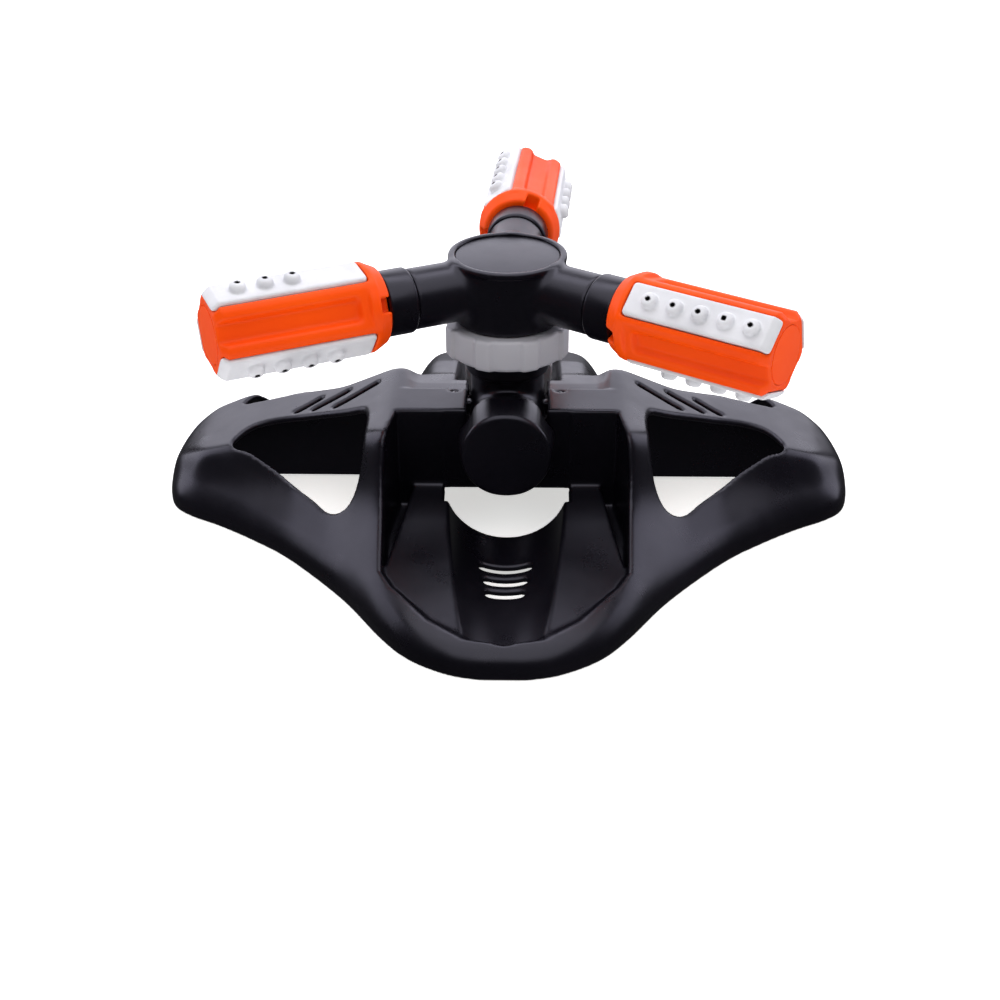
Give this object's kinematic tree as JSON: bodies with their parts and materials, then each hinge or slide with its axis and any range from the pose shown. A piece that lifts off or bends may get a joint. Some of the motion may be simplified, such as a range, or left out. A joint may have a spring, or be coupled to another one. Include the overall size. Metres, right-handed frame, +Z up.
{
  "type": "rotating lawn sprinkler",
  "caption": "Rotating lawn sprinkler: a lobed moulded base, a central water post and a spinning rotor whose arms end in turnable nozzle barrels.",
  "frame": {"origin": "on the ground, under the rotor's vertical axis, at the middle of the base", "axes": "+Z up, +X across the two side lobes to the right, +Y towards the hose inlet at the back"},
  "size_m": [0.25, 0.21, 0.1065],
  "materials": {
    "black_plastic": "moulded black plastic with a soft satin gloss",
    "grey_plastic": "moulded mid-grey plastic",
    "orange_plastic": "bright orange moulded plastic, satin",
    "nozzle_rubber": "soft light grey rubber",
    "washer_plastic": "smooth natural white plastic",
    "seal_rubber": "black sealing rubber",
    "screw_steel": "darkened steel screws"
  },
  "bodies": {
    "base": {"base_shell": "black_plastic", "manifold_body": "black_plastic", "manifold_screw_left": "screw_steel", "manifold_screw_right": "screw_steel", "retaining_ring": "grey_plastic", "thrust_washer_lower": "washer_plastic"},
    "rotor": {"rotor_hub": "black_plastic", "hub_cap": "black_plastic", "thrust_washer_upper": "washer_plastic", "spindle_o_ring": "seal_rubber", "arm_sleeve_back": "black_plastic", "arm_sleeve_left": "black_plastic", "arm_sleeve_right": "black_plastic", "arm_o_ring_back": "seal_rubber", "arm_o_ring_left": "seal_rubber", "arm_o_ring_right": "seal_rubber"},
    "barrel_back": {"barrel_body_back": "orange_plastic", "barrel_end_cap_back": "orange_plastic", "nozzle_strip_3_back": "nozzle_rubber", "nozzle_strip_4_back": "nozzle_rubber", "nozzle_strip_5_back": "nozzle_rubber"},
    "barrel_left": {"barrel_body_left": "orange_plastic", "barrel_end_cap_left": "orange_plastic", "nozzle_strip_3_left": "nozzle_rubber", "nozzle_strip_4_left": "nozzle_rubber", "nozzle_strip_5_left": "nozzle_rubber"},
    "barrel_right": {"barrel_body_right": "orange_plastic", "barrel_end_cap_right": "orange_plastic", "nozzle_strip_3_right": "nozzle_rubber", "nozzle_strip_4_right": "nozzle_rubber", "nozzle_strip_5_right": "nozzle_rubber"},
    "outlet_plug": {"outlet_cap": "black_plastic", "outlet_gasket": "seal_rubber"},
    "inlet": {"inlet_nut": "grey_plastic", "inlet_washer": "seal_rubber", "inlet_filter": "washer_plastic"}
  },
  "joints": [
    {"name": "rotor_spin", "type": "hinge", "parent": "base", "child": "rotor", "pos_m": [0, 0, 0.0895], "axis": [0, 0, 1], "continuous": true},
    {"name": "barrel_back_roll", "type": "hinge", "parent": "rotor", "child": "barrel_back", "pos_m": [0, 0, 0.0895], "axis": [0.0698, 0.9976, 0], "range_deg": [-45, 45]},
    {"name": "barrel_left_roll", "type": "hinge", "parent": "rotor", "child": "barrel_left", "pos_m": [0, 0, 0.0895], "axis": [-0.8988, -0.4384, 0], "range_deg": [-45, 45]},
    {"name": "barrel_right_roll", "type": "hinge", "parent": "rotor", "child": "barrel_right", "pos_m": [0, 0, 0.0895], "axis": [0.829, -0.5592, 0], "range_deg": [-45, 45]},
    {"name": "outlet_cap_unscrew", "type": "slide", "parent": "base", "child": "outlet_plug", "axis": [0, -1, 0], "range_m": [0, 0.014]},
    {"name": "inlet_nut_spin", "type": "hinge", "parent": "base", "child": "inlet", "pos_m": [0, 0.039, 0.041], "axis": [0, 1, 0], "continuous": true}
  ]
}
